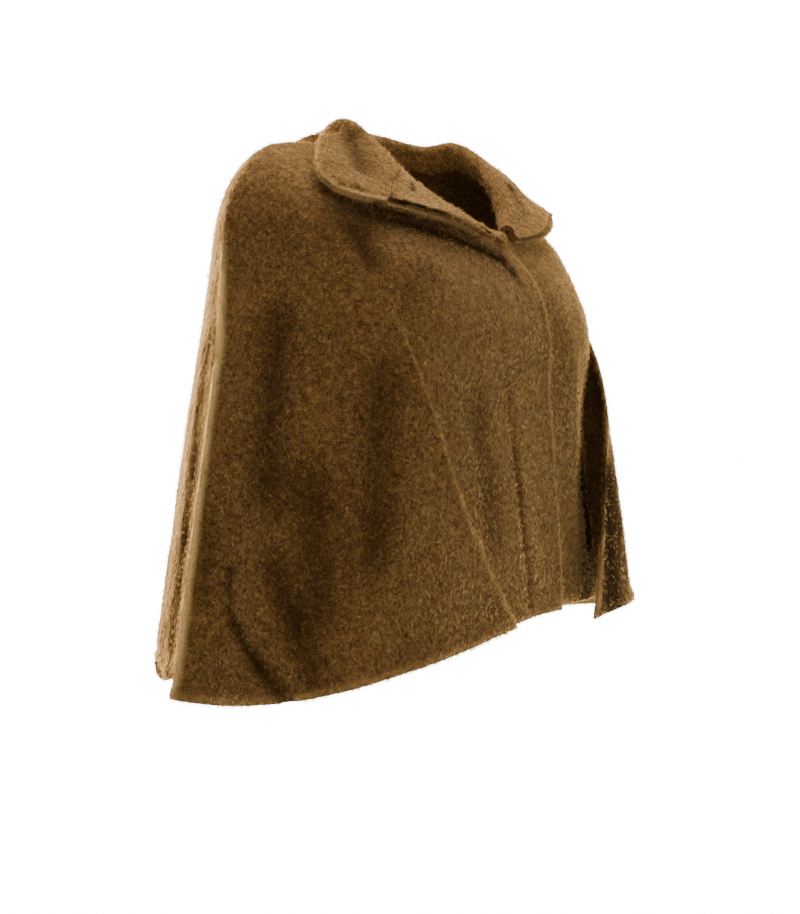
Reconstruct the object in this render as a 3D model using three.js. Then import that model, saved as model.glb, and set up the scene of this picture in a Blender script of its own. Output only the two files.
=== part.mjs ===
// Knit poncho cut as a short cape jacket: a back, two wings that hang over the arms, two fronts that
// close right over left on a hidden fly, and a turned-down collar that runs into turned-out lapels.
// Millimetres, +Z up, -Y is the wearer's front, +X the wearer's left. The origin is the middle of the
// neck base, at the height of the shoulder line, where a wearer's shoulders hold the garment.
import * as THREE from "three";

// ---- driving sizes ----
const KNIT = 0x8a6232; // brown camel
const CLOTH = 3; // brushed knit, one layer
const SEAM_GAP = 0.5; // between two pieces at a seam
const RIDGE_HEIGHT = 8; // the over-arm seam stands out as a soft ridge
const RIDGE_WIDTH = 20; // half width of that ridge
const ARM_SLIT_TOP = 0.45; // where the raglan seam ends and the wing's free edge starts
const FRONT_INSET = 5.5; // how far the fronts lie inside the wings' surface below the slit
const SLIT_GAPE = 26; // how much further the left front falls away behind the left wing, at most
const GAPE_BEFORE = 30; // it begins to fall away this far before the wing's edge, as an angle
const GAPE_SPAN = 44; // and the angle over which it does
const FLY_INSET = 8.5; // how far the left front lies inside the right one where they lap
const LAY_GAP = 0.4; // between layers that lie on each other
const FACING_CLOTH = 2.8; // the facing that shows on each lapel
const FACING_LIFT = 2.5; // how far the facing's edge stands off the lapel, where the fly opens
const COLLAR_CLOTH = CLOTH + LAY_GAP + FACING_CLOTH; // two layers, seamed at the edge
const LEFT_CORNER_DROP = 0.03; // the left wing's front corner hangs this share lower
const CHEST_SWELL = 5; // the left chest stands out below the collar's end
const BACK_CORNER_RISE = 0.025; // the back's corners hang this share higher than its middle
const FRONT_CORNER_RISE = 0.065; // the fronts' hems rise this share where they run under the wings
const LEFT_RAISE = 17; // the neck edge stands this much higher on the wearer's left
const RIGHT_DIP = 5; // and this much lower on the right
const SEAM_TURN = 63; // angle round the neck where collar and lapel are seamed together
const SEAM_LEAN = 11; // how far that seam leans to the front by its lower end, as an angle
const SEAM_REACH = 30; // the collar leans with it as far round as this
const BACK_SQUARE = 2; // the back half of every ring is an ellipse
const LEFT_TIP = 22; // angle round the neck where the left lapel ends
const FACING_END = 0.94; // how far down the lapel the facing reaches, as a share

// Rings of the draped cape from neck to hem. at: share of the way down; half: half width; front and
// back: depth from the axis; mid: how far behind the axis the side line lies; zSide, zFront, zBack:
// heights; drop: how late the height turns from the side's to the front's or back's; square: the shape
// of the front half, where 2 is an ellipse and more is a squarer corner.
const RINGS = [
  { at: 0.0, half: 98, front: 99, back: 66, mid: 8, zSide: -2, zFront: -92, zBack: 8, drop: 1.4, square: 2.15 },
  { at: 0.1, half: 143, front: 114, back: 95, mid: 28, zSide: -7, zFront: -110, zBack: -20, drop: 1.2, square: 2.45 },
  { at: 0.21, half: 196, front: 130, back: 118, mid: 34, zSide: -18, zFront: -131, zBack: -60, drop: 1.2, square: 2.5 },
  { at: 0.31, half: 232, front: 142, back: 128, mid: 32, zSide: -60, zFront: -155, zBack: -110, drop: 1.6, square: 2.5 },
  { at: 0.42, half: 245, front: 150, back: 133, mid: 28, zSide: -126, zFront: -190, zBack: -170, drop: 2.1, square: 2.85 },
  { at: 0.6, half: 279, front: 156, back: 139, mid: 22, zSide: -240, zFront: -268, zBack: -280, drop: 2.4, square: 3.3 },
  { at: 0.8, half: 309, front: 161, back: 145, mid: 16, zSide: -364, zFront: -357, zBack: -392, drop: 2.4, square: 3.6 },
  { at: 1.0, half: 334, front: 165, back: 157, mid: 12, zSide: -491, zFront: -446, zBack: -503, drop: 2.4, square: 3.7 },
];

// Free front edges of the wings and front edges of the fronts, as angles round the body from the
// centre front; the right side is negative. under: how far each front runs on beneath its wing.
const EDGES = [
  { at: 0.0, rightWing: -66, leftWing: 66, rightFront: 8, leftFront: -8, overArm: 94, under: 0 },
  { at: 0.15, rightWing: -63, leftWing: 64, rightFront: 7.5, leftFront: -8, overArm: 96, under: 0 },
  { at: 0.33, rightWing: -57, leftWing: 58, rightFront: 5, leftFront: -9, overArm: 97, under: 0 },
  { at: 0.45, rightWing: -48, leftWing: 50, rightFront: 4.4, leftFront: -9, overArm: 94.5, under: 6 },
  { at: 0.58, rightWing: -38.5, leftWing: 37, rightFront: 4, leftFront: -8, overArm: 89.5, under: 8 },
  { at: 0.78, rightWing: -28.4, leftWing: 22.5, rightFront: 4.5, leftFront: -7, overArm: 91, under: 13 },
  { at: 1.0, rightWing: -14.5, leftWing: 15, rightFront: 4, leftFront: -6, overArm: 94, under: 16 },
];

// The turned-out band round the neck: left lapel to 63, collar over the back to 297, right lapel to
// 352. at: angle from the centre front; stand: how high it rises over the neck edge; fall: how far
// its edge lies down the cape; lift: how high its edge stands off the cape.
const BAND = [
  { at: 8, stand: 1.5, fall: 6, lift: 0.5 },
  { at: 22, stand: 1.5, fall: 12, lift: 1 },
  { at: 36, stand: 2, fall: 33, lift: 3 },
  { at: 44, stand: 2.5, fall: 50, lift: 7 },
  { at: 50, stand: 3, fall: 63, lift: 10 },
  { at: 57, stand: 4, fall: 76, lift: 14 },
  { at: 63, stand: 5, fall: 86, lift: 17 },
  { at: 67, stand: 8, fall: 91, lift: 16 },
  { at: 72, stand: 12, fall: 91, lift: 13 },
  { at: 78, stand: 15, fall: 82, lift: 10 },
  { at: 86, stand: 18, fall: 70, lift: 6 },
  { at: 98, stand: 19, fall: 50, lift: 3 },
  { at: 120, stand: 17, fall: 40, lift: 2 },
  { at: 180, stand: 17, fall: 46, lift: 2 },
  { at: 215, stand: 8, fall: 42, lift: 2 },
  { at: 240, stand: 6, fall: 32, lift: 1 },
  { at: 260, stand: 17, fall: 28, lift: 1 },
  { at: 270, stand: 17, fall: 31, lift: 2 },
  { at: 278, stand: 13, fall: 76, lift: 7 },
  { at: 284, stand: 9, fall: 122, lift: 11 },
  { at: 290, stand: 6, fall: 125, lift: 10 },
  { at: 297, stand: 3, fall: 98, lift: 8 },
  { at: 303, stand: 2, fall: 76, lift: 7 },
  { at: 310, stand: 1.5, fall: 54, lift: 6 },
  { at: 316, stand: 1.5, fall: 36, lift: 4 },
  { at: 324, stand: 1.5, fall: 26, lift: 3 },
  { at: 338, stand: 1.5, fall: 18, lift: 2 },
  { at: 352, stand: 1.5, fall: 6, lift: 0.5 },
];

// Soft folds of the hanging cloth. top and hem: angle round the body at each end, right is negative;
// from: the share of the way down where it starts; depth: at the hem, out is positive; wide: half
// width; crisp: 1 is a sharp fold, 0 a round swell.
const FOLDS = [
  { top: -196, hem: -60, from: 0.78, depth: -9, wide: 20, crisp: 0.3 },
  { top: -78, hem: -84, from: 0.5, depth: -5, wide: 22, crisp: 0.2 },
  { top: -74, hem: -68, from: 0.4, depth: 6, wide: 34, crisp: 0 },
  { top: -60, hem: -42, from: 0.45, depth: -5, wide: 40, crisp: 0 },
  { top: -8, hem: -3, from: 0.3, depth: -4, wide: 20, crisp: 0 },
  { top: 24, hem: 24, from: 0.6, depth: 7, wide: 34, crisp: 0 },
  { top: 44, hem: 42, from: 0.4, depth: -3, wide: 30, crisp: 0 },
  { top: 66, hem: 60, from: 0.5, depth: -6, wide: 26, crisp: 0.2 },
  { top: 80, hem: 76, from: 0.45, depth: 4, wide: 24, crisp: 0 },
  { top: 122, hem: 118, from: 0.5, depth: -8, wide: 34, crisp: 0.1 },
  { top: 146, hem: 150, from: 0.35, depth: 9, wide: 40, crisp: 0.2 },
  { top: 176, hem: 172, from: 0.55, depth: -8, wide: 36, crisp: 0.1 },
  { top: 196, hem: 200, from: 0.3, depth: 10, wide: 38, crisp: 0.2 },
  { top: 222, hem: 228, from: 0.45, depth: -9, wide: 36, crisp: 0.1 },
  { top: 246, hem: 246, from: 0.6, depth: 5, wide: 28, crisp: 0 },
];

// ---- small maths ----
const rad = (degrees) => (degrees * Math.PI) / 180;
const ease = (share) => {
  const k = Math.min(1, Math.max(0, share));
  return k * k * (3 - 2 * k);
};

// The angle between two directions round the body, either way.
const between = (turn, other) => Math.abs(((((turn - other) % 360) + 540) % 360) - 180);

// A table's column at any share of the way down, as a smooth curve through its rows.
function column(table, key, at) {
  let i = 0;
  while (i < table.length - 2 && at > table[i + 1].at) i += 1;
  const slope = (k) => {
    const a = table[Math.max(0, k - 1)];
    const b = table[Math.min(table.length - 1, k + 1)];
    return (b[key] - a[key]) / (b.at - a.at);
  };
  const [a, b] = [table[i], table[i + 1]];
  const span = b.at - a.at;
  const k = (at - a.at) / span;
  const [k2, k3] = [k * k, k * k * k];
  return (
    (2 * k3 - 3 * k2 + 1) * a[key] +
    (k3 - 2 * k2 + k) * span * slope(i) +
    (3 * k2 - 2 * k3) * b[key] +
    (k3 - k2) * span * slope(i + 1)
  );
}

// ---- the draped surface ----
// The plain cape without folds, at a share of the way down and an angle round the body.
function drape(at, turn) {
  const ring = (key) => column(RINGS, key, at);
  const side = Math.sin(rad(turn));
  const fore = Math.cos(rad(turn));
  const square = fore > 0 ? ring("square") : BACK_SQUARE;
  const reach = (Math.abs(side) ** square + Math.abs(fore) ** square) ** (-1 / square);
  const depth = fore > 0 ? -(ring("front") + ring("mid")) : ring("back") - ring("mid");
  const end = fore > 0 ? ring("zFront") : ring("zBack");
  const share = Math.abs(fore) ** ring("drop");
  const raised =
    LEFT_RAISE * Math.exp(-((between(turn, 62) / 26) ** 2)) * (1 - ease(at / 0.46)) -
    RIGHT_DIP * Math.exp(-((between(turn, -56) / 20) ** 2)) * (1 - ease(at / 0.42));
  return new THREE.Vector3(
    ring("half") * side * reach,
    ring("mid") + depth * Math.abs(fore) * reach,
    ring("zSide") + (end - ring("zSide")) * share + raised,
  );
}

// The outward direction of any surface given as a function of two numbers.
function outward(surface, a, b, stepA, stepB) {
  const down = surface(a + stepA, b).sub(surface(a - stepA, b));
  const round = surface(a, b + stepB).sub(surface(a, b - stepB));
  return down.cross(round).normalize();
}

// How far a fold stands out at a distance from its middle, as a share of its depth; off is the
// distance in half widths.
function foldShape(off, crisp) {
  const soft = Math.exp(-off * off);
  const sharp = Math.exp(1.4 * (0.4 - Math.hypot(off, 0.4)));
  return soft + (sharp - soft) * crisp;
}

// The bulge of the cloth's folds, of the left chest and of the seam over each arm.
function foldDepth(at, turn) {
  const radius = column(RINGS, "half", at) * 0.75;
  const overArm = column(EDGES, "overArm", at);
  const fromSeam = Math.min(between(turn, overArm), between(turn, -overArm));
  let sum = RIDGE_HEIGHT * ease((at - 0.2) / 0.5);
  sum *= foldShape((rad(fromSeam) * column(RINGS, "back", at)) / RIDGE_WIDTH, 1);
  sum += CHEST_SWELL * Math.exp(-(((at - 0.21) / 0.06) ** 2) - ((between(turn, 46) / 17) ** 2));
  for (const fold of FOLDS) {
    const centre = fold.top + (fold.hem - fold.top) * at;
    const grown = ease((at - fold.from) / (1 - fold.from));
    sum += fold.depth * grown * foldShape((rad(between(turn, centre)) * radius) / fold.wide, fold.crisp);
  }
  return sum;
}

// The cape's surface with its folds, lifted off by a distance.
function cape(at, turn, lift = 0) {
  const plainNormal = outward(drape, at, turn, 0.004, 0.5);
  return drape(at, turn).addScaledVector(plainNormal, foldDepth(at, turn) + lift);
}

// ---- cloth walls ----
// A closed wall on a grid. surface(row, col) is the outer face, normal(row, col) its direction, thick
// the cloth, and has(i, j) tells the cells that exist.
function wall(name, rows, cols, { surface, normal, thick = CLOTH, has = () => true }) {
  const points = [];
  const index = [];
  for (const row of rows) {
    for (const col of cols) {
      const outer = surface(row, col);
      points.push(outer, outer.clone().addScaledVector(normal(row, col), -thick));
    }
  }
  const corner = (i, j) => 2 * (i * cols.length + j);
  const edges = new Map();
  const face = (a, b, c, d) => {
    index.push(a, b, c, a, c, d, a + 1, c + 1, b + 1, a + 1, d + 1, c + 1);
    for (const [p, q] of [[a, b], [b, c], [c, d], [d, a]]) {
      if (!edges.delete(`${q} ${p}`)) edges.set(`${p} ${q}`, [p, q]);
    }
  };
  for (let i = 0; i < rows.length - 1; i += 1) {
    for (let j = 0; j < cols.length - 1; j += 1) {
      if (has(i, j)) face(corner(i, j), corner(i + 1, j), corner(i + 1, j + 1), corner(i, j + 1));
    }
  }
  // the rim's faces are split the same way on both sides of a seam
  for (const [p, q] of edges.values()) {
    if (p < q) index.push(q, p, p + 1, q, p + 1, q + 1);
    else index.push(q, p, q + 1, p, p + 1, q + 1);
  }
  return piece(name, points, index);
}

function piece(name, points, index) {
  const used = new Map();
  const kept = [];
  const renumbered = index.map((k) => {
    if (!used.has(k)) {
      used.set(k, kept.length);
      kept.push(points[k]);
    }
    return used.get(k);
  });
  const geometry = new THREE.BufferGeometry().setFromPoints(kept);
  geometry.setIndex(renumbered);
  geometry.computeVertexNormals();
  const material = new THREE.MeshStandardMaterial({ color: KNIT, roughness: 0.95, metalness: 0 });
  const mesh = new THREE.Mesh(geometry, material);
  mesh.name = name;
  return mesh;
}

const steps = (from, to, count) =>
  Array.from({ length: count + 1 }, (_, i) => from + ((to - from) * i) / count);

// ---- panels ----
const ROWS = steps(0, 1, 21);
const edge = (key, at) => column(EDGES, key, at);
const lowerHalf = (row) => ease((row - 0.5) / 0.5);
// Half a seam's gap as an angle round the body.
const half = (at, turn) =>
  SEAM_GAP / 2 / drape(at, turn - 0.5).distanceTo(drape(at, turn + 0.5));
const capeNormal = (at, turn) => outward(cape, at, turn, 0.004, 0.5);

// A panel between two seams or edges, given as angles; hem(share) is how far down its hem lies. Its
// rows keep level with its neighbours' in the upper half.
function panel(name, cols, from, to, hem = () => 1) {
  const place = (row, share) => {
    const at = row * (1 + (hem(share) - 1) * lowerHalf(row));
    const [a, b] = [from(at), to(at)];
    const turn = a + half(at, a) + (b - half(at, b) - a - half(at, a)) * share;
    return [at, turn];
  };
  return wall(name, ROWS, steps(0, 1, cols), {
    surface: (row, share) => cape(...place(row, share)),
    normal: (row, share) => capeNormal(...place(row, share)),
  });
}

const back = panel(
  "back", 28,
  (at) => edge("overArm", at),
  (at) => 360 - edge("overArm", at),
  (share) => 1 - BACK_CORNER_RISE * (2 * share - 1) ** 4,
);
const rightWing = panel("right_wing", 20, (at) => -edge("overArm", at), (at) => edge("rightWing", at));
const leftWing = panel(
  "left_wing", 18,
  (at) => edge("leftWing", at),
  (at) => edge("overArm", at),
  (share) => 1 + LEFT_CORNER_DROP * (1 - share) ** 2 * (1 - 5 * share),
);

// ---- how the fronts lie under the wings ----
// Below the arm slit each front lies inside its wing and runs on beneath it. The left one falls away
// to the body, so that its slit gapes.
const slitInset = (at) => FRONT_INSET * ease((at - ARM_SLIT_TOP) / 0.04);
const gape = (at, turn) =>
  SLIT_GAPE * ease((at - ARM_SLIT_TOP) / 0.15) * ease((turn - edge("leftWing", at) + GAPE_BEFORE) / GAPE_SPAN);
const underlap = (at) => Math.max(0, edge("under", at)) * ease((at - ARM_SLIT_TOP - 0.03) / 0.03);
const lapInset = (turn) => FLY_INSET * ease((16 - turn) / 10);

// How far down a spoke from the neck a length of cloth reaches, as a share.
function shareAfter(length, turn) {
  const fine = 0.01;
  let [at, left] = [0, length];
  while (left > 0) {
    const piece = drape(at + fine, turn).distanceTo(drape(at, turn));
    if (piece >= left) return at + (fine * left) / piece;
    left -= piece;
    at += fine;
  }
  return at;
}

// ---- the turned-out band round the neck ----
// The underside of the lapels and the collar in section: up from the neck edge, over the roll and
// down on the cape. inset is how far the front that carries it lies inside the cape.
function bandSection(around, inset) {
  const turn = around > 180 ? around - 360 : around;
  const size = (key) => column(BAND, key, (around + 360) % 360);
  const up = new THREE.Vector3(0, 0, 1);
  const out = new THREE.Vector3(Math.sin(rad(turn)), -Math.cos(rad(turn)), 0);
  const inward = drape(0, turn).sub(drape(0.01, turn)).normalize();
  const by = (along, rise, reach) =>
    cape(0, turn, -inset)
      .addScaledVector(inward, along)
      .addScaledVector(up, rise)
      .addScaledVector(out, reach);
  const stand = size("stand");
  const fromSeam = Math.abs(turn) - SEAM_TURN;
  const seamNear = 1 - Math.min(1, fromSeam < 0 ? -fromSeam / SEAM_TURN : fromSeam / SEAM_REACH);
  const laid = (share, extra) => {
    const across = turn - Math.sign(turn) * SEAM_LEAN * seamNear * share;
    return cape(shareAfter(size("fall") * share, across), across, 1.2 - inset + size("lift") * extra);
  };
  return new THREE.CatmullRomCurve3([
    by(0, 0, 0),
    by(2 + stand * 0.05, 0, 0),
    by(3 + stand * 0.05, stand * 0.5, 0),
    by(2.6, stand * 0.9, 0.8),
    by(1, stand + 1, 2.5),
    laid(0.25, 0.9),
    laid(0.5, 0.8),
    laid(0.75, 0.8),
    laid(1, 1),
  ], false, "centripetal");
}
// Shares down the band where its sections have a ring of points.
const BAND_ROWS = [0, 0.11, 0.25, 0.34, 0.41, 0.47, 0.52, 0.58, 0.66, 0.76, 0.88, 1];

const sections = new Map();
function underBand(share, turn, inset = 0) {
  const key = `${turn} ${inset}`;
  if (!sections.has(key)) sections.set(key, bandSection(turn, inset));
  return sections.get(key).getPoint(Math.min(1, Math.max(0, share)));
}

// ---- fronts with their turned-out lapels ----
// A front: cols are shares from its wing's side to its front edge, kept as angles by turnOf. Rows
// above 0 run down the panel, rows below 0 up the lapel.
function front(name, cols, turnOf, inset, isLapel) {
  const place = (row, share) => {
    const rise = FRONT_CORNER_RISE * (turnOf(row, share) / 60) ** 2;
    const at = row * (1 - rise * lowerHalf(row));
    return [at, turnOf(at, share)];
  };
  const neckTurn = (share) => turnOf(0, share);
  const under = (row, share) => underBand(-row, neckTurn(share), inset(0, neckTurn(share)));
  const surface = (row, share) => {
    if (row < 0) return under(row, share);
    const [at, turn] = place(row, share);
    return cape(at, turn, -inset(at, turn));
  };
  const normal = (row, share) =>
    row < 0 ? outward(under, row, share, 0.01, 0.003) : capeNormal(...place(row, share));
  const rows = [...BAND_ROWS.slice(1).reverse().map((share) => -share), ...ROWS];
  const has = (i, j) => rows[i] >= 0 || isLapel(neckTurn(cols[j]), neckTurn(cols[j + 1]));
  const width = (share) => column(BAND, "fall", (neckTurn(share) + 360) % 360);
  return { under, normal, width, mesh: wall(name, rows, cols, { surface, normal, has }) };
}

const seamShare = (from, to, turn) => (turn - from) / (to - from);
const RIGHT_SEAM = seamShare(edge("rightWing", 0), edge("rightFront", 0), -SEAM_TURN);
const rightFront = front(
  "right_front",
  [0, RIGHT_SEAM / 2, ...steps(RIGHT_SEAM, 1, 13)],
  (at, share) => {
    const wing = edge("rightWing", at);
    const from = wing + half(at, wing) - underlap(at);
    return from + (edge("rightFront", at) - from) * share;
  },
  slitInset,
  (from) => from > -SEAM_TURN - 0.1,
);
const LEFT_SEAM = seamShare(edge("leftFront", 0), edge("leftWing", 0), SEAM_TURN);
const TIP_SHARE = seamShare(edge("leftFront", 0), edge("leftWing", 0), LEFT_TIP);
const leftFront = front(
  "left_front",
  [...steps(0, TIP_SHARE, 5), ...steps(TIP_SHARE, LEFT_SEAM, 9).slice(1), (1 + LEFT_SEAM) / 2, 1],
  (at, share) => {
    const wing = edge("leftWing", at);
    const to = wing - half(at, wing) + underlap(at);
    return edge("leftFront", at) + (to - edge("leftFront", at)) * share;
  },
  (at, turn) => slitInset(at) + lapInset(turn) + gape(at, turn),
  (from, to) => from > LEFT_TIP - 0.1 && to < SEAM_TURN + 0.1,
);

// The facing that shows on each lapel, laid on it and ending short of its edge.
function facing(name, lapel, cols) {
  const rows = [...BAND_ROWS.slice(1, -1), FACING_END];
  const normal = (share, col) => lapel.normal(-share, col).negate();
  const surface = (share, col) => {
    const open = ease((lapel.width(col) - 14) / 20) * ease((share - 0.6) / (FACING_END - 0.6));
    const lift = COLLAR_CLOTH + FACING_LIFT * open;
    return lapel.under(-share, col).addScaledVector(normal(share, col), lift);
  };
  return wall(name, rows, cols, { surface, normal, thick: FACING_CLOTH });
}
const rightFacing = facing("right_facing", rightFront, steps(RIGHT_SEAM, 0.94, 12));
const leftFacing = facing("left_facing", leftFront, steps(TIP_SHARE, LEFT_SEAM, 9));

// ---- collar ----
const collarNormal = (share, around) => outward(underBand, share, around, 0.01, 0.5);
const collarStart = (around) =>
  drape(0, around).sub(drape(0.01, around)).setLength(1.7 * SEAM_GAP);
const COLLAR_FROM = SEAM_TURN + 0.3; // just clear of the lapel
const COLLAR_TO = 360 - COLLAR_FROM;
const COLLAR_CORNER = 268; // the right corner of the collar starts here
const collarColumns = [
  ...steps(COLLAR_FROM, COLLAR_CORNER, 36),
  ...steps(COLLAR_CORNER, COLLAR_TO, 12).slice(1),
];
const collar = wall("collar", BAND_ROWS, collarColumns, {
  surface: (share, around) =>
    underBand(share, around)
      .addScaledVector(collarStart(around), 1 - share)
      .addScaledVector(collarNormal(share, around), COLLAR_CLOTH),
  normal: collarNormal,
  thick: COLLAR_CLOTH,
});

const garment = new THREE.Group();
garment.add(back, rightWing, leftWing, rightFront.mesh, leftFront.mesh, rightFacing, leftFacing, collar);

export default garment;
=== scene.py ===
import math

import bmesh
import bpy
from mathutils import Matrix, Vector, noise
from mathutils.bvhtree import BVHTree


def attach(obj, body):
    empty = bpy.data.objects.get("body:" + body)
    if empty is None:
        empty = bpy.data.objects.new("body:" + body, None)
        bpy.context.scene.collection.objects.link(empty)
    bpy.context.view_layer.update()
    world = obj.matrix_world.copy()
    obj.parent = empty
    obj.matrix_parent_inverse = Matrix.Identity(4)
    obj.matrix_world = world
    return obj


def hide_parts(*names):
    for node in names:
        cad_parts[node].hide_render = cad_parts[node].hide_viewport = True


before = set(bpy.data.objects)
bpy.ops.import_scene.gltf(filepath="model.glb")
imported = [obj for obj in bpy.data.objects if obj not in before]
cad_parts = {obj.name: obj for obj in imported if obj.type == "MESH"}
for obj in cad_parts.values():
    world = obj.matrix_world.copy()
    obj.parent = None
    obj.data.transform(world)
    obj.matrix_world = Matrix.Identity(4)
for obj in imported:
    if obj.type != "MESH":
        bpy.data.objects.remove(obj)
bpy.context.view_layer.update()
MM = 0.001

# ---- studio ----
# The poncho is seen from its wearer's right front, level with its middle, in an evenly lit white
# studio. It keeps the height at which it is worn, so the floor lies a shoulder's height below it.
CAMERA_TURN = -60  # degrees round the wearer, right of the centre front
CAMERA_FAR = 1500 * MM
CAMERA_HEIGHT = -250 * MM
FLOOR_HEIGHT = -1400 * MM
LENS = 59.1  # millimetres, on a sensor 36 mm high
FLOOR_RADIUS = 20
BACKDROP_GLOW = 16  # how bright the white wall and floor are to the camera
turn = math.radians(CAMERA_TURN)
camera_data = bpy.data.cameras.new("studio_camera")
camera_data.sensor_fit = "VERTICAL"
camera_data.sensor_height = 36
camera_data.lens = LENS
camera_data.shift_x = -0.0055
camera_data.shift_y = -0.057
camera_data.clip_start = 0.05
camera_data.clip_end = 100
camera = bpy.data.objects.new("studio_camera", camera_data)
camera.location = (CAMERA_FAR * math.sin(turn), -CAMERA_FAR * math.cos(turn), CAMERA_HEIGHT)
camera.rotation_euler = (math.radians(90), 0, turn)
bpy.context.scene.collection.objects.link(camera)
bpy.context.scene.camera = camera


class Wire:
    """A node socket that Python's operators work on."""

    def __init__(self, tree, socket):
        self.tree = tree
        self.socket = socket

    def maths(self, operation, *others):
        values = {k: v for k, v in enumerate((self, *others))}
        return self.tree.node("ShaderNodeMath", {"operation": operation}, values)

    def __add__(self, other):
        return self.maths("ADD", other)

    def __rsub__(self, other):
        return self.tree.node("ShaderNodeMath", {"operation": "SUBTRACT"}, {0: other, 1: self})

    def __mul__(self, other):
        return self.maths("MULTIPLY", other)

    def __pow__(self, other):
        return self.maths("POWER", other)

    __radd__ = __add__
    __rmul__ = __mul__


class Tree:
    """A material's or world's nodes, each made by the one method node."""

    def __init__(self, tree):
        self.tree = tree
        tree.nodes.clear()

    def node(self, kind, settings=None, sockets=None, out=0):
        made = self.tree.nodes.new(kind)
        for name, value in (settings or {}).items():
            if name == "stops":
                for stop in range(len(value) - 2):
                    made.color_ramp.elements.new(0.5)
                for element, (place, colour) in zip(made.color_ramp.elements, value):
                    element.position = place
                    element.color = (*colour, 1) if len(colour) == 3 else colour
            else:
                setattr(made, name, value)
        for name, value in (sockets or {}).items():
            if isinstance(value, Wire):
                self.tree.links.new(value.socket, made.inputs[name])
            else:
                made.inputs[name].default_value = value
        return None if out is None else Wire(self, made.outputs[out])

    def mix(self, factor, first, second, blend="MIX"):
        settings = {"data_type": "RGBA", "blend_type": blend}
        return self.node("ShaderNodeMix", settings, {0: factor, 6: first, 7: second}, out=2)

    def finish(self, kind, shader):
        self.node(kind, None, {"Surface": shader}, out=None)


world = bpy.data.worlds.new("studio")
bpy.context.scene.world = world
world.use_nodes = True
sky = Tree(world.node_tree)
# A white wall behind the garment lights it from the back and the sides; the room in front is dim.
toward_wall = (-math.sin(turn), math.cos(turn), 0.0)
ray = sky.node("ShaderNodeTexCoord", out=0)
facing_wall = sky.node("ShaderNodeVectorMath", {"operation": "DOT_PRODUCT"}, {0: ray, 1: toward_wall}, out=1)
wall_share = sky.node("ShaderNodeMapRange", {"interpolation_type": "SMOOTHSTEP"}, {
    "Value": facing_wall, "From Min": 0.3, "From Max": 0.95, "To Min": 0.32, "To Max": 4,
})
camera_ray = sky.node("ShaderNodeLightPath")
soft = sky.node("ShaderNodeBackground", None, {"Color": (1, 0.97, 0.93, 1), "Strength": wall_share})
white = sky.node("ShaderNodeBackground", None, {
    "Color": (1, 1, 1, 1), "Strength": BACKDROP_GLOW,
})
seen = sky.node("ShaderNodeMixShader", None, {0: camera_ray, 1: soft, 2: white})
sky.finish("ShaderNodeOutputWorld", seen)

floor_mesh = bmesh.new()
bmesh.ops.create_circle(floor_mesh, cap_ends=True, segments=96, radius=FLOOR_RADIUS)
bmesh.ops.translate(floor_mesh, verts=floor_mesh.verts, vec=(0, 0, FLOOR_HEIGHT))
floor_data = bpy.data.meshes.new("floor")
floor_mesh.to_mesh(floor_data)
floor_mesh.free()
floor = bpy.data.objects.new("floor", floor_data)
bpy.context.scene.collection.objects.link(floor)
floor_look = bpy.data.materials.new("floor_white")
floor_look.use_nodes = True
paint = Tree(floor_look.node_tree)
lit = paint.node("ShaderNodeEmission", None, {"Color": (1, 1, 1, 1), "Strength": BACKDROP_GLOW})
paint.finish("ShaderNodeOutputMaterial", lit)
floor_data.materials.append(floor_look)
floor.visible_diffuse = False
floor.visible_glossy = False
floor.visible_shadow = False


def soft_box(name, place, aim, size, power, colour=(1, 0.94, 0.86)):
    data = bpy.data.lights.new(name, "AREA")
    data.shape = "RECTANGLE"
    data.size, data.size_y = size
    data.energy = power
    data.color = colour
    lamp = bpy.data.objects.new(name, data)
    lamp.location = place
    lamp.rotation_euler = (Vector(aim) - Vector(place)).to_track_quat("-Z", "Y").to_euler()
    bpy.context.scene.collection.objects.link(lamp)


MIDDLE = (0, 0, -0.25)
GOLDEN = (1, 0.78, 0.46)
soft_box("overhead", (0.5, 0.45, 1.9), MIDDLE, (1.4, 1.2), 145)
soft_box("side_left", (0.8, 2.35, 0.2), MIDDLE, (0.9, 2.0), 900, GOLDEN)
soft_box("side_right", (2.3, 0.6, 0.3), MIDDLE, (0.9, 2.0), 370, GOLDEN)
soft_box("front_fill", (-1.9, -1.9, 0.3), MIDDLE, (1.4, 1.4), 24)

# ---- knit ----
# The whole garment is one camel-brown wool knit, brushed until it is covered with short curls. Loops
# and curls mix tones from dark to golden, and grazing light makes the hairy surface glow.
knit = bpy.data.materials.new("brushed_knit")
knit.use_nodes = True
yarn = Tree(knit.node_tree)
place = yarn.node("ShaderNodeTexCoord", out=3)
SOLID = {"noise_dimensions": "3D"}
curls = yarn.node("ShaderNodeTexNoise", SOLID, {
    "Vector": place, "Scale": 460, "Detail": 4, "Roughness": 0.6, "Distortion": 1.8,
})
tufts = yarn.node("ShaderNodeTexNoise", SOLID, {
    "Vector": place, "Scale": 170, "Detail": 3, "Roughness": 0.6, "Distortion": 1.2,
})
worn = yarn.node("ShaderNodeTexNoise", SOLID, {"Vector": place, "Scale": 12, "Detail": 3})
hanging = yarn.node("ShaderNodeMapping", None, {"Vector": place, "Scale": (110, 110, 38)})
lumps = yarn.node("ShaderNodeTexNoise", SOLID, {"Vector": hanging, "Scale": 1, "Detail": 2})
height = curls * 0.62 + tufts * 0.38
colour = yarn.node("ShaderNodeValToRGB", {"stops": [
    (0.34, (0.04, 0.018, 0.005)), (0.48, (0.145, 0.074, 0.021)), (0.6, (0.29, 0.16, 0.05)),
    (0.74, (0.53, 0.32, 0.115)),
]}, {0: height})
tint = yarn.mix(worn, (0.78, 0.76, 0.74, 1), (1.24, 1.24, 1.24, 1))
colour = yarn.mix(1.0, colour, tint, "MULTIPLY")
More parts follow.
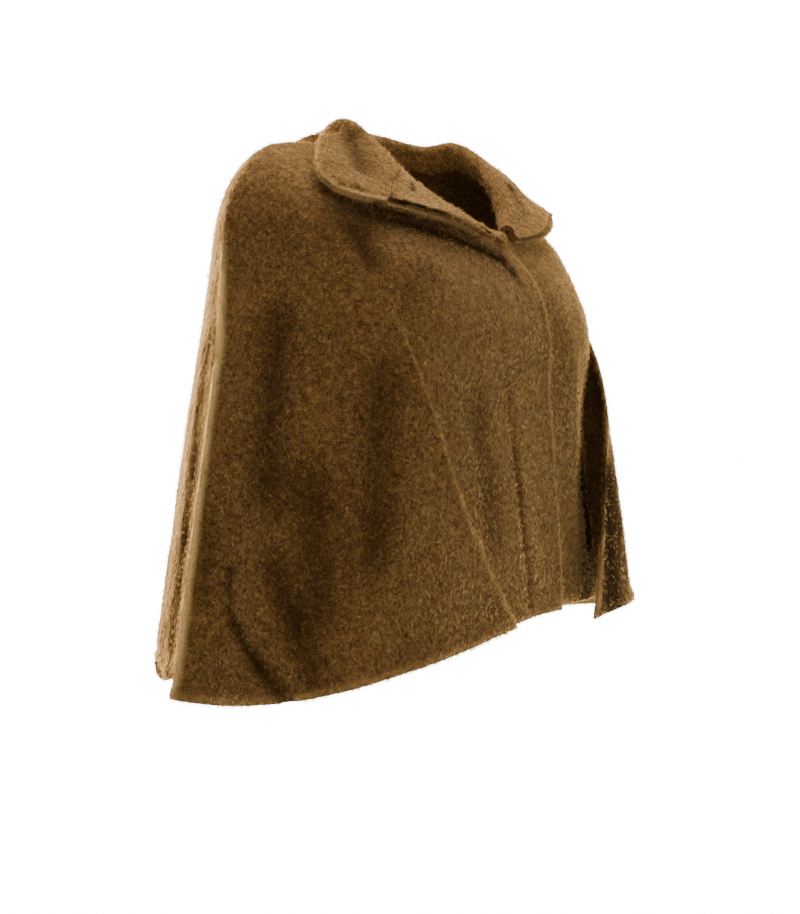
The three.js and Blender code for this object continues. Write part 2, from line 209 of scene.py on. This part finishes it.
# Free edges are painted a paler gold: a painted highlight for the rim light that the edge's fibres catch.
free_edge = yarn.node("ShaderNodeAttribute", {"attribute_name": "free_edge"}, out=2)
colour = yarn.mix(free_edge ** 12 * 0.35, colour, (0.62, 0.4, 0.16, 1))
# The creases' painted shading: where it is negative the colour turns golden, a painted highlight.
hollow = yarn.node("ShaderNodeAttribute", {"attribute_name": "hollow"}, out=2)
colour = yarn.mix(hollow * -1, colour, (0.95, 0.66, 0.28, 1))
uneven = yarn.node("ShaderNodeBump", None, {"Strength": 1.0, "Distance": 9 * MM, "Height": lumps})
bump = yarn.node("ShaderNodeBump", None, {
    "Strength": 1.0, "Distance": 2.4 * MM, "Height": height, "Normal": uneven,
})
wool = yarn.node("ShaderNodeBsdfPrincipled", None, {
    "Base Color": colour, "Roughness": 0.95, "Sheen Weight": 0.18, "Sheen Roughness": 0.4,
    "Sheen Tint": (1, 0.7, 0.34, 1), "Specular IOR Level": 0.05, "Normal": bump,
})
# Where the painted shading is positive the knit is mixed towards a near-black diffuse: painted shade.
unlit = yarn.node("ShaderNodeBsdfDiffuse", None, {"Color": (0.012, 0.006, 0.002, 1), "Roughness": 1})
shaded = yarn.node("ShaderNodeMixShader", None, {0: hollow * 0.92, 1: wool, 2: unlit})
yarn.finish("ShaderNodeOutputMaterial", shaded)

# ---- back ----
# The back is one panel of the knit, cut wide at the hem and sewn to both wings over the arms. It is
# made from its solid: triangles merged, free edges rounded, the surface smoothed and then creased.
CUT_EDGE = math.radians(72)  # a panel's face and its cut edge meet more sharply than this
SAME_PLACE = 0.01 * MM  # corners this near each other are one
BENT_PAIR = math.radians(50)  # two triangles that bend less than this
SKEWED_PAIR = math.radians(70)  # and are skewed less than this become one four-sided face
SEWN = 1.2 * MM  # a cut edge this near another piece is sewn to it
NOTCH = 3.2 * MM  # the same where the collar meets a lapel
OVERLAP = 0.25 * MM  # how far sewn edges run into each other
HEART = Vector((0, 20, -300)) * MM  # the middle of the wearer's trunk

# Creases pressed into the hanging cloth, in millimetres. Each runs from start to end; depth is
# inwards, so a ridge is negative, wide is the half width and dark is the shade painted along it for
# how little light reaches it, negative for a highlight painted on a ridge or corner. Rows of depth 0
# press nothing and only paint.
CREASES = [
    # start, end, depth, wide, dark
    ((-311, -14, -380), (-317, -20, -422), 4, 5, 0.5),
    ((-317, -20, -422), (-326, -50, -453), 7, 6, 0.8),
    ((-326, -50, -453), (-320, -86, -492), 7, 7, 0.9),
    ((-313, -54, -370), (-311, -102, -470), 3, 12, 0.6),
    ((-309, 4, -335), (-322, 6, -410), 2, 7, 0.4),
    ((-252, 4, -150), (-290, -12, -290), -3, 13, 0),
    ((-258, -26, -165), (-300, -46, -343), 3.5, 18, 0.7),
    ((-290, -80, -290), (-300, -96, -430), 3, 20, 0.6),
    ((-224, -109, -215), (-266, -123, -391), 3, 18, 0.6),
    ((-240, -128, -330), (-230, -138, -440), -2.5, 16, 0),
    ((-77, -147, -182), (-62, -151, -282), 1.5, 5, 0.3),
    ((-62, -151, -282), (-39, -157, -445), 3, 5, 0.6),
    ((-52, -150, -240), (-26, -156, -430), -1.5, 14, 0),
    ((24, -150, -300), (52, -154, -440), 3, 12, 0.6),
    ((-128, -140, -240), (-106, -150, -380), 2.5, 18, 0.5),
    ((-205, -50, -84), (-149, -80, -90), 3, 11, 0.7),
    ((-149, -80, -90), (-75, -103, -98), 3, 12, 0.8),
    ((-75, -103, -98), (0, -118, -114), 3, 11, 0.7),
    # Shallow rows and rows of depth 0 that paint shade on the far wing's face by the arm slit, under the
    # right lapel and down the centre front, and a painted highlight on the far lapel's corner.
    ((140, -158, -300), (135, -170, -520), 1, 36, 0.9),
    ((200, -145, -300), (215, -158, -520), 1, 40, 0.8),
    ((-12, -120, -116), (-4, -138, -160), 0, 12, 0.3),
    ((155, -87, -47), (161, -86, -47), 0, 6, -0.6),
    ((-195, -62, -98), (-149, -92, -104), 0, 22, 0.55),
    ((-149, -92, -104), (-75, -118, -116), 0, 24, 0.6),
    ((-75, -118, -116), (0, -128, -128), 0, 22, 0.6),
    ((-206, -64, -92), (-209, -92, -140), 3, 10, 0.6),
    ((-150, -112, -130), (-196, -112, -160), 1.5, 12, 0.3),
    ((88, -134, -200), (96, -150, -400), -3, 18, 0),
    ((150, -120, -190), (176, -140, -420), 3.5, 18, 0.7),
    ((262, -60, -190), (306, -64, -450), 3, 16, 0.6),
    ((276, 10, -200), (322, 8, -430), 2.5, 14, 0.5),
    ((230, 92, -180), (262, 110, -470), 3.5, 20, 0.7),
    ((120, 128, -150), (140, 150, -480), 3, 24, 0.6),
    ((10, 136, -160), (-14, 158, -470), 3, 22, 0.6),
    ((-110, 130, -140), (-150, 146, -480), 3.5, 24, 0.7),
    ((-220, 96, -170), (-262, 104, -470), 3, 18, 0.6),
    # Ridges along the right over-arm seam, painted as a pale line: a painted highlight for the lit seam.
    ((-228, 48, -80), (-248, 38, -132), -1.5, 3.5, -0.7),
    ((-248, 38, -132), (-275, 22, -203), -2, 3.5, -1),
    ((-275, 22, -203), (-305, 18, -312), -2, 3.5, -1),
    ((-305, 18, -312), (-323, 18, -401), -2, 3.5, -1),
    ((-323, 18, -401), (-338, 21, -490), -2, 3.5, -1),
    ((-262, 40, -190), (-292, 34, -290), 2, 7, 0.5),
    ((-292, 34, -290), (-318, 33, -400), 2, 8, 0.75),
    ((-318, 33, -400), (-330, 36, -460), 2, 8, 0.6),
    # The same ridges and painted highlight along the left over-arm seam.
    ((233, 43, -75), (249, 38, -132), -1.5, 3.5, -0.7),
    ((249, 38, -132), (292, 20, -250), -2, 3.5, -1),
    ((292, 20, -250), (319, 20, -369), -2, 3.5, -1),
    ((319, 20, -369), (338, 22, -480), -2, 3.5, -1),
    ((-284, 62, -210), (-302, 74, -440), 4, 9, 0.8),
    ((-258, 84, -260), (-280, 100, -470), -3, 12, 0),
]
# The same on the collar and lapels, which lie over, with the way that they face.
TURNED_CREASES = [
    # start, end, depth, wide, dark, facing
    ((-112, -4, 6), (-134, -26, -16), 3.5, 11, 0.7, (-0.3, -0.45, 0.8)),
    ((-134, -26, -16), (-158, -50, -44), 3, 12, 0.6, (-0.2, -0.65, 0.72)),
    ((-166, -16, -21), (-190, -36, -40), -2, 12, 0, (-0.2, -0.5, 0.8)),
    ((-205, -45, -52), (-185, -64, -60), -1.5, 6, 0, (-0.2, -0.6, 0.77)),
    ((-211, -55, -60), (-189, -67, -64), 1.8, 2.2, 0.4, (-0.2, -0.6, 0.77)),
    ((-189, -67, -64), (-150, -78, -66), 1.8, 2.2, 0.4, (-0.15, -0.6, 0.78)),
    # Painted shade in the collar seam and at the buttonhole, and along the fly slit under the right facing's
    # edge.
    ((-104, -54, -34), (-161, -80, -68), 0.8, 1.6, 0.8, (-0.15, -0.65, 0.74)),
    ((-97.5, -65, -42.5), (-112.5, -74, -55.5), 1.4, 2.2, 1, (-0.15, -0.65, 0.74)),
    ((-152, -82, -69), (-117, -93, -73), 1.5, 2, 1, (-0.15, -0.65, 0.74)),
    ((-117, -93, -73), (-82, -97, -74), 1, 2.2, 1, (-0.1, -0.65, 0.75)),
    ((-82, -97, -74), (-47, -103, -82), 1, 2.2, 1, (-0.1, -0.65, 0.75)),
    ((-47, -103, -82), (-7, -107, -91), 1, 2, 1, (-0.1, -0.65, 0.75)),
    ((95, -69, -22), (90, -78, -34), 2.5, 4, 0.5, (-0.1, -0.77, 0.62)),
    ((90, -78, -34), (84, -92, -56), 1.6, 5, 0.3, (-0.12, -0.8, 0.55)),
    ((112, -60, -20), (116, -76, -40), -1.5, 6, 0, (-0.1, -0.75, 0.64)),
    ((130, -10, 0), (160, -30, -36), 3, 12, 0.6, (0.25, -0.55, 0.78)),
    ((70, 92, -6), (84, 120, -40), 2.5, 14, 0.5, (0.2, 0.6, 0.75)),
    ((-20, 100, -4), (-24, 128, -44), 2, 16, 0.4, (0, 0.65, 0.75)),
    ((-90, 84, -2), (-112, 104, -40), 2.5, 14, 0.5, (-0.25, 0.6, 0.75)),
]
# The knit's own unevenness, and the corners that hang out of line.
SWELLS = [
    # how many to a metre round the body and down it, how high in millimetres
    (9, 4, 2.2),
    (34, 26, 0.9),
    (85, 70, 0.5),
]
PULLS = [
    # where the cloth is pulled, how far and which way, and how far round it the pull reaches
    ((-318, 78, -492), (10, 0, 26), 34),
    ((288, -122, -480), (-8, 0, 14), 30),
    ((143, -93, -52), (10, 4, 2), 13),
]
TAPER = 0.15  # a crease fades out over this share of its length inside and past each end
DIED_AWAY = 3  # and this many half widths or reaches to its side
LYING, HANGING = -30 * MM, -130 * MM  # cloth lies on the shoulders above the one, hangs below the other
FINE = 7 * MM  # creases narrower than this want a finer mesh
NEAR, PAST = 2.5, 0.1  # that mesh reaches this many half widths to its sides, this share past its ends
BROAD = 4  # outwards is this much more to the front or back than to a side, as the body is broad
SPINE = 20 * MM  # the body's middle lies this far behind the neck's
RISING = 12 * MM  # a crease also pushes up a little, most near the middle
pressed = []
for start, end, deep, wide, dark, *faced in CREASES + TURNED_CREASES:
    first, along = Vector(start) * MM, (Vector(end) - Vector(start)) * MM
    facing = Vector(*faced) if faced else None
    pressed.append((first, along, along.length_squared, deep, wide * MM, dark, facing))


def creased(point):
    """Where a point of the cloth lies once it is creased, and the shade painted on it: 1 dark, -1 a painted
    highlight.
    """
    hang = min(1, max(0, (point.z - LYING) / (HANGING - LYING)))
    outward = Vector((point.x / BROAD, point.y - SPINE, RISING)).normalized()
    hollow = 0
    push = Vector()
    for first, along, squared, deep, wide, dark, faced in pressed:
        share = (point - first).dot(along) / squared
        if -TAPER < share < 1 + TAPER:
            off = (point - first - along * min(1, max(0, share))).length / wide
            if off < DIED_AWAY:
                fade = min(1, (share + TAPER) / (2 * TAPER), (1 + TAPER - share) / (2 * TAPER))
                strength = math.exp(-off * off) * fade * fade * (3 - 2 * fade)
                push -= (faced or outward) * deep * strength * (1 if faced else hang)
                # Each row adds painted shade, or a painted highlight where its dark value is negative.
                hollow += dark * strength
    for across, down, high in SWELLS:
        spot = Vector((point.x * across, point.y * across, point.z * down))
        push += outward.lerp(Vector((0, 0, 1)), 1 - hang) * noise.noise(spot) * high
    place = point + push * MM
    for spot, pull, reach in PULLS:
        off = (point - Vector(spot) * MM).length / (reach * MM)
        if off < DIED_AWAY:
            place += Vector(pull) * MM * math.exp(-off * off)
    return place, min(1, max(-1, hollow))


def refine(mesh):
    """Halves the faces along the narrow creases."""
    near = []
    for edge in mesh.edges:
        middle = (edge.verts[0].co + edge.verts[1].co) / 2
        for first, along, squared, deep, wide, dark, faced in pressed:
            if wide < FINE:
                share = min(1 + PAST, max(-PAST, (middle - first).dot(along) / squared))
                if (middle - first - along * share).length < NEAR * wide:
                    near.append(edge)
                    break
    bmesh.ops.subdivide_edges(mesh, edges=near, cuts=1, use_grid_fill=True)


def merged(node):
    """A copy of a node's mesh with its doubled corners and needless diagonals gone."""
    mesh = bmesh.new()
    mesh.from_mesh(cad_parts[node].data)
    bmesh.ops.remove_doubles(mesh, verts=mesh.verts, dist=SAME_PLACE)
    bmesh.ops.join_triangles(
        mesh, faces=mesh.faces, angle_face_threshold=BENT_PAIR, angle_shape_threshold=SKEWED_PAIR,
    )
    return mesh


solids = {node: merged(node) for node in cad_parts}
nearby = {node: BVHTree.FromBMesh(mesh) for node, mesh in solids.items()}


def seam_way(node, point):
    """The way from a point at a seam to the piece sewn to it, or None where there is no seam."""
    ways = {}
    for other, tree in nearby.items():
        pair = node + other
        if other != node:
            wide = NOTCH if "collar" in pair and ("front" in pair or "facing" in pair) else SEWN
            spot = tree.find_nearest(point, wide)[0]
            if spot is not None:
                ways[other] = spot - point
    return ways.get("collar", min(ways.values(), key=lambda way: way.length)) if ways else None


def faces_within(mesh, cut):
    """The mesh's faces in the groups that the cut edges part, largest first."""
    cut = set(cut)
    left = set(mesh.faces)
    groups = []
    while left:
        todo = [left.pop()]
        group = []
        while todo:
            face = todo.pop()
            group.append(face)
            for edge in face.edges:
                if edge not in cut:
                    todo += [other for other in edge.link_faces if other in left]
                    left.difference_update(edge.link_faces)
        groups.append(group)
    return sorted(groups, key=lambda group: -sum(face.calc_area() for face in group))


def cloth_from(node, rounded=1.1, curl=1.5):
    """The cloth piece that takes a solid's place. curl is how far its free edges turn out."""
    mesh = solids[node]
    free_edge = mesh.verts.layers.float.new("free_edge")
    outside = mesh.verts.layers.float.new("outside")
    crease = mesh.edges.layers.float.new("crease_edge")
    cut = [e for e in mesh.edges if e.is_manifold and e.calc_face_angle(0) > CUT_EDGE]
    groups = faces_within(mesh, cut)
    faces, rims = groups[:2], groups[2:]
    faces.sort(key=lambda group: -sum(
        face.normal.dot(face.calc_center_median() - HEART) * face.calc_area() for face in group
    ))
    for face in faces[0]:
        for vert in face.verts:
            vert[outside] = 1
    rim_verts = {vert for rim in rims for face in rim for vert in face.verts}
    ways = {vert: seam_way(node, vert.co) for vert in rim_verts}
    sewn = {vert for vert, way in ways.items() if way is not None}
    for vert in rim_verts - sewn:
        vert[free_edge] = vert[outside] = 1
    sewn_edges = [e for e in cut if e.verts[0] in sewn and e.verts[1] in sewn]
    for edge in sewn_edges:
        edge.smooth = False
        edge[crease] = 1
    for vert in sewn:
        vert.co += ways[vert] / 2 + ways[vert].normalized() * OVERLAP
    for face in mesh.faces:
        face.smooth = True
    bmesh.ops.bevel(
        mesh, geom=list(set(cut) - set(sewn_edges)), offset=rounded * MM, offset_type="OFFSET",
        segments=2, profile=0.5, affect="EDGES", material=-1, clamp_overlap=True,
    )
    data = bpy.data.meshes.new(node + "_cloth")
    mesh.to_mesh(data)
    piece = bpy.data.objects.new(node + "_cloth", data)
    bpy.context.scene.collection.objects.link(piece)
    smooth = piece.modifiers.new("smooth", "SUBSURF")
    smooth.levels = smooth.render_levels = 2
    smooth.use_limit_surface = False
    graph = bpy.context.evaluated_depsgraph_get()
    shaped = bpy.data.meshes.new_from_object(piece.evaluated_get(graph))
    piece.modifiers.clear()
    piece.data = shaped
    mesh.free()
    mesh = bmesh.new()
    mesh.from_mesh(shaped)
    # Every point carries the creases' painted shading, for the colour of the knit and its nap.
    hollow = mesh.verts.layers.float.new("hollow")
    free_edge = mesh.verts.layers.float["free_edge"]
    refine(mesh)
    for vert in mesh.verts:
        outward = Vector((vert.co.x / BROAD, vert.co.y - SPINE, 0)).normalized()
        place, vert[hollow] = creased(vert.co.copy())
        vert.co = place + outward * vert[free_edge] ** 3 * curl * MM
    mesh.to_mesh(shaped)
    mesh.free()
    shaped.materials.clear()
    shaped.materials.append(knit)
    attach(piece, "root")
    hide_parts(node)
    return piece


cloths = {"back": cloth_from("back")}

# ---- wings ----
# A wing hangs over each arm: one panel of the knit, seamed to the back over the arm and to the front
# down to the arm slit. Below it the wing's front edge is free and turns out a little.
cloths["right_wing"] = cloth_from("right_wing", curl=3)
cloths["left_wing"] = cloth_from("left_wing", curl=3)

# ---- fronts ----
# The fronts close right over left on a hidden fly, and their tops turn out into lapels. Each is one
# panel of the knit that runs on beneath its wing below the arm slit.
cloths["right_front"] = cloth_from("right_front")
cloths["left_front"] = cloth_from("left_front", curl=0)

# ---- facings ----
# The lapels' facings are the same knit, laid on the turned-out fronts and ending just short of the
# lapel's edge, so that the fly opens as a slit between the two, darkened by shade painted along it.
cloths["right_facing"] = cloth_from("right_facing", rounded=1.2, curl=2.5)
cloths["left_facing"] = cloth_from("left_facing", rounded=1.2, curl=1)

# ---- collar ----
# The collar is two layers of the knit, seamed at the edge and turned, so it is thick and round there.
cloths["collar"] = cloth_from("collar", rounded=2.4, curl=0)

# ---- nap ----
# The knit is brushed until short curly hairs stand on its outer face. Each hair is a narrow ribbon
# spun through part of a turn; a few shapes are scattered over every panel, more on its free edges.
HAIR_SHAPES = 7
HAIR_STEPS = 2
HAIR_WIDTH = 0.42 * MM
HAIR_LIE = math.radians(70)  # how far a hair tips over
LEAST_CURL, MORE_CURL = math.radians(60), math.radians(26)  # the first shape's, and each further one's
WIDEST, LESS_WIDE = 3.2 * MM, 0.3 * MM  # the same for the curl's radius, which gets less
TWIST = 0.4 * MM  # how far a hair's shape winds sideways, for each one from the middle shape
SQUARE_CM = 10000  # in a square metre
THINNER, DIMMER = 0.9, 0.8  # how much sparser the nap is, and how much darker it is painted, where the painted shading is strongest
hair_look = bpy.data.materials.new("nap_hair")
hair_look.use_nodes = True
tuft = Tree(hair_look.node_tree)
tone = tuft.node("ShaderNodeAttribute", {"attribute_name": "tone"}, out=2)
hair_colour = tuft.node("ShaderNodeValToRGB", {"stops": [
    (0.0, (0.05, 0.024, 0.007)), (0.45, (0.12, 0.061, 0.018)), (0.75, (0.23, 0.123, 0.037)),
    (1.0, (0.52, 0.31, 0.11)),
]}, {0: tone})
fibre = tuft.node("ShaderNodeBsdfPrincipled", None, {
    "Base Color": hair_colour, "Roughness": 0.8, "Sheen Weight": 0.2, "Sheen Roughness": 0.35,
    "Sheen Tint": (1, 0.74, 0.4, 1), "Specular IOR Level": 0.15,
})
backlit = tuft.node("ShaderNodeBsdfTranslucent", None, {"Color": (0.62, 0.38, 0.13, 1)})
woolly = tuft.node("ShaderNodeMixShader", None, {0: 0.2, 1: fibre, 2: backlit})
tuft.finish("ShaderNodeOutputMaterial", woolly)
hair_box = bpy.data.collections.new("hair_shapes")


def hair(number):
    """One hair: a short edge spun through part of a turn, tipped over so that it lies half flat."""
    curl = LEAST_CURL + MORE_CURL * number
    radius = WIDEST - LESS_WIDE * number
    aside = TWIST * (number - HAIR_SHAPES // 2) / HAIR_STEPS
    mesh = bmesh.new()
    low = mesh.verts.new((0, -HAIR_WIDTH / 2, 0))
    high = mesh.verts.new((0, HAIR_WIDTH / 2, 0))
    root = mesh.edges.new((low, high))
    bmesh.ops.spin(
        mesh, geom=[low, high, root], cent=(0, 0, radius), axis=(0, 1, 0),
        dvec=(0, aside, 0), angle=-curl, steps=HAIR_STEPS,
        use_merge=False, use_normal_flip=False, use_duplicate=False,
    )
    bmesh.ops.rotate(mesh, verts=mesh.verts, cent=(0, 0, 0), matrix=Matrix.Rotation(HAIR_LIE, 3, "X"))
    data = bpy.data.meshes.new(f"hair_{number}")
    mesh.to_mesh(data)
    mesh.free()
    hair_box.objects.link(bpy.data.objects.new(f"hair_{number}", data))


for number in range(HAIR_SHAPES):
    hair(number)


def napped(node, density, at_edges, painted_lightening, seed):
    """Scatters hairs over a piece's outer face, density to a square centimetre, as one mesh."""
    name = node + "_nap"
    group = bpy.data.node_groups.new(name, "GeometryNodeTree")
    group.interface.new_socket("Geometry", in_out="INPUT", socket_type="NodeSocketGeometry")
    group.interface.new_socket("Geometry", in_out="OUTPUT", socket_type="NodeSocketGeometry")
    field = Tree(group)

    def chance(low, high, number):
        return field.node("FunctionNodeRandomValue", {"data_type": "FLOAT"}, {
            2: low, 3: high, "Seed": seed + number,
        }, out=1)

    def named(attribute):
        return field.node("GeometryNodeInputNamedAttribute", {"data_type": "FLOAT"}, {"Name": attribute})

    cloth = field.node("NodeGroupInput")
    thick = named("outside") * (named("free_edge") ** 6 * at_edges + 1) * (density * SQUARE_CM)
    thick = thick * (1 - named("hollow") * THINNER)
    points = field.node("GeometryNodeDistributePointsOnFaces", None, {
        "Mesh": cloth, "Density": thick, "Seed": seed,
    })
    upright = Wire(field, points.socket.node.outputs["Rotation"])
    # A hair's tone is random, raised by the piece's painted light and darkened under the painted shading.
    light = chance(painted_lightening, painted_lightening + 0.9, 1) * (1 - named("hollow") * DIMMER)
    points = field.node("GeometryNodeStoreNamedAttribute", {"data_type": "FLOAT", "domain": "POINT"}, {
        "Geometry": points, "Name": "tone", "Value": light,
    })
    tip = field.node("ShaderNodeCombineXYZ", None, {"X": chance(-0.4, 0.25, 2), "Z": chance(0.0, 6.283, 3)})
    lean = field.node("FunctionNodeEulerToRotation", None, {0: tip})
    way = field.node("FunctionNodeRotateRotation", {"rotation_space": "LOCAL"}, {0: upright, 1: lean})
    shapes = field.node("GeometryNodeCollectionInfo", None, {
        "Collection": hair_box, "Separate Children": True, "Reset Children": True,
    })
    hairs = field.node("GeometryNodeInstanceOnPoints", None, {
        "Points": points, "Instance": shapes, "Pick Instance": True, "Rotation": way,
        "Scale": chance(0.45, 1.1, 4),
    })
    grown = field.node("GeometryNodeRealizeInstances", None, {0: hairs})
    field.node("NodeGroupOutput", None, {0: grown}, out=None)
    carrier = bpy.data.objects.new(name + "_base", cloths[node].data)
    bpy.context.scene.collection.objects.link(carrier)
    carrier.modifiers.new("scatter", "NODES").node_group = group
    graph = bpy.context.evaluated_depsgraph_get()
    data = bpy.data.meshes.new_from_object(carrier.evaluated_get(graph))
    bpy.data.objects.remove(carrier)
    nap = bpy.data.objects.new(name, data)
    bpy.context.scene.collection.objects.link(nap)
    data.materials.clear()
    data.materials.append(hair_look)
    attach(nap, "root")
    return nap


NAP = {
    # hairs to a square centimetre, how many times more on free edges, and painted light: how much paler
    "back": (10, 2, 0.1), "right_wing": (18, 3, 0), "left_wing": (14, 3, 0), "right_front": (20, 1, 0),
    "left_front": (16, 1, 0.05), "right_facing": (14, 0, 0.35), "left_facing": (14, 0, 0.3),
    "collar": (20, 0, 0.15),
}
for seed, (node, (density, at_edges, painted_lightening)) in enumerate(NAP.items()):
    napped(node, density, at_edges, painted_lightening, 20 + 10 * seed)

# ---- stitches ----
# The seam between the collar and the right lapel and the buttonhole on that lapel are sewn in brown wool
# thread. Each stitch is a short length of thread laid on the knit; the buttonhole's stitches stand side by
# side round its slit.
THREAD = 0.4 * MM
thread = bpy.data.materials.new("brown_thread")
thread.use_nodes = True
spun = Tree(thread.node_tree)
spot_on = spun.node("ShaderNodeTexCoord", out=3)
twist = spun.node("ShaderNodeTexNoise", SOLID, {"Vector": spot_on, "Scale": 900})
shade = spun.mix(twist, (0.03, 0.013, 0.004, 1), (0.16, 0.08, 0.024, 1))
wound = spun.node("ShaderNodeBsdfPrincipled", None, {
    "Base Color": shade, "Roughness": 0.8, "Specular IOR Level": 0.1,
})
spun.finish("ShaderNodeOutputMaterial", wound)


def stitch(mesh, start, end):
    """Adds one stitch, a round length of thread from start to end."""
    way = end - start
    lie = Matrix.Translation((start + end) / 2) @ way.to_track_quat("Z", "Y").to_matrix().to_4x4()
    bmesh.ops.create_cone(
        mesh, cap_ends=True, segments=6, radius1=THREAD, radius2=THREAD, depth=way.length, matrix=lie,
    )


def sewing(name, mesh):
    """The object that a set of stitches becomes."""
    data = bpy.data.meshes.new(name)
    for face in mesh.faces:
        face.smooth = True
    mesh.to_mesh(data)
    mesh.free()
    data.materials.append(thread)
    piece = bpy.data.objects.new(name, data)
    bpy.context.scene.collection.objects.link(piece)
    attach(piece, "root")
    return piece


def surface(node):
    """A way to find the nearest point of a cloth piece and how it faces there."""
    data = cloths[node].data
    return BVHTree.FromPolygons([v.co.copy() for v in data.vertices], [f.vertices[:] for f in data.polygons])


STITCH = 3.4 * MM  # from one stitch of the seam to the next
STITCH_SHARE = (0.08, 0.92)  # where a stitch starts and ends between one and the next
SEAM_RUN = [
    # the seam between collar and right lapel, in millimetres
    (-96, -52, -30), (-108, -56, -36), (-122, -60, -43), (-137, -66, -53), (-152, -74, -61),
    (-161, -80, -67),
]
lapel = surface("right_facing")
seam_stitches = bmesh.new()
for start, end in zip(SEAM_RUN, SEAM_RUN[1:]):
    start, end = Vector(start) * MM, Vector(end) * MM
    count = round((end - start).length / STITCH)
    for number in range(count):
        ends = [start.lerp(end, (number + share) / count) for share in STITCH_SHARE]
        laid = [lapel.find_nearest(spot) for spot in ends]
        stitch(seam_stitches, *(spot + normal * THREAD for spot, normal, _, _ in laid))
seam_thread = sewing("lapel_seam_stitches", seam_stitches)

HOLE_LONG, HOLE_WIDE = 7.5 * MM, 1.3 * MM  # half the slit's length and width
HOLE_STITCHES = 34
BITE = 1.2 * MM  # how far its stitches reach into the knit
SLIT_LIFT, INNER_LIFT, OUTER_LIFT = 0.7 * MM, 0.9 * MM, 0.6 * MM  # how far off the lapel each lies
HOLE_MIDDLE = Vector((-105, -69, -49)) * MM
middle, face_way, _, _ = lapel.find_nearest(HOLE_MIDDLE)
down = Vector((-0.66, -0.45, -0.6))
down = (down - face_way * down.dot(face_way)).normalized()
across = face_way.cross(down)
hole = bmesh.new()


def on_lapel(along, aside, lift):
    """A point by the buttonhole's middle, lifted off the lapel."""
    spot, normal, _, _ = lapel.find_nearest(middle + down * along + across * aside)
    return spot + normal * lift


# The slit is filled with a sheet of the dark thread: painted shade for its open cut.
bmesh.ops.create_circle(hole, cap_ends=False, segments=24, radius=1)
bmesh.ops.triangle_fill(hole, edges=hole.edges, use_beauty=True)
for vert in hole.verts:
    vert.co = on_lapel(vert.co.x * HOLE_LONG, vert.co.y * HOLE_WIDE, SLIT_LIFT)
for number in range(HOLE_STITCHES):
    angle = math.tau * number / HOLE_STITCHES
    along, aside = math.cos(angle), math.sin(angle)
    inner = on_lapel(along * HOLE_LONG, aside * HOLE_WIDE, INNER_LIFT)
    outer = on_lapel(along * (HOLE_LONG + BITE), aside * (HOLE_WIDE + BITE), OUTER_LIFT)
    stitch(hole, inner, outer)
buttonhole = sewing("buttonhole", hole)
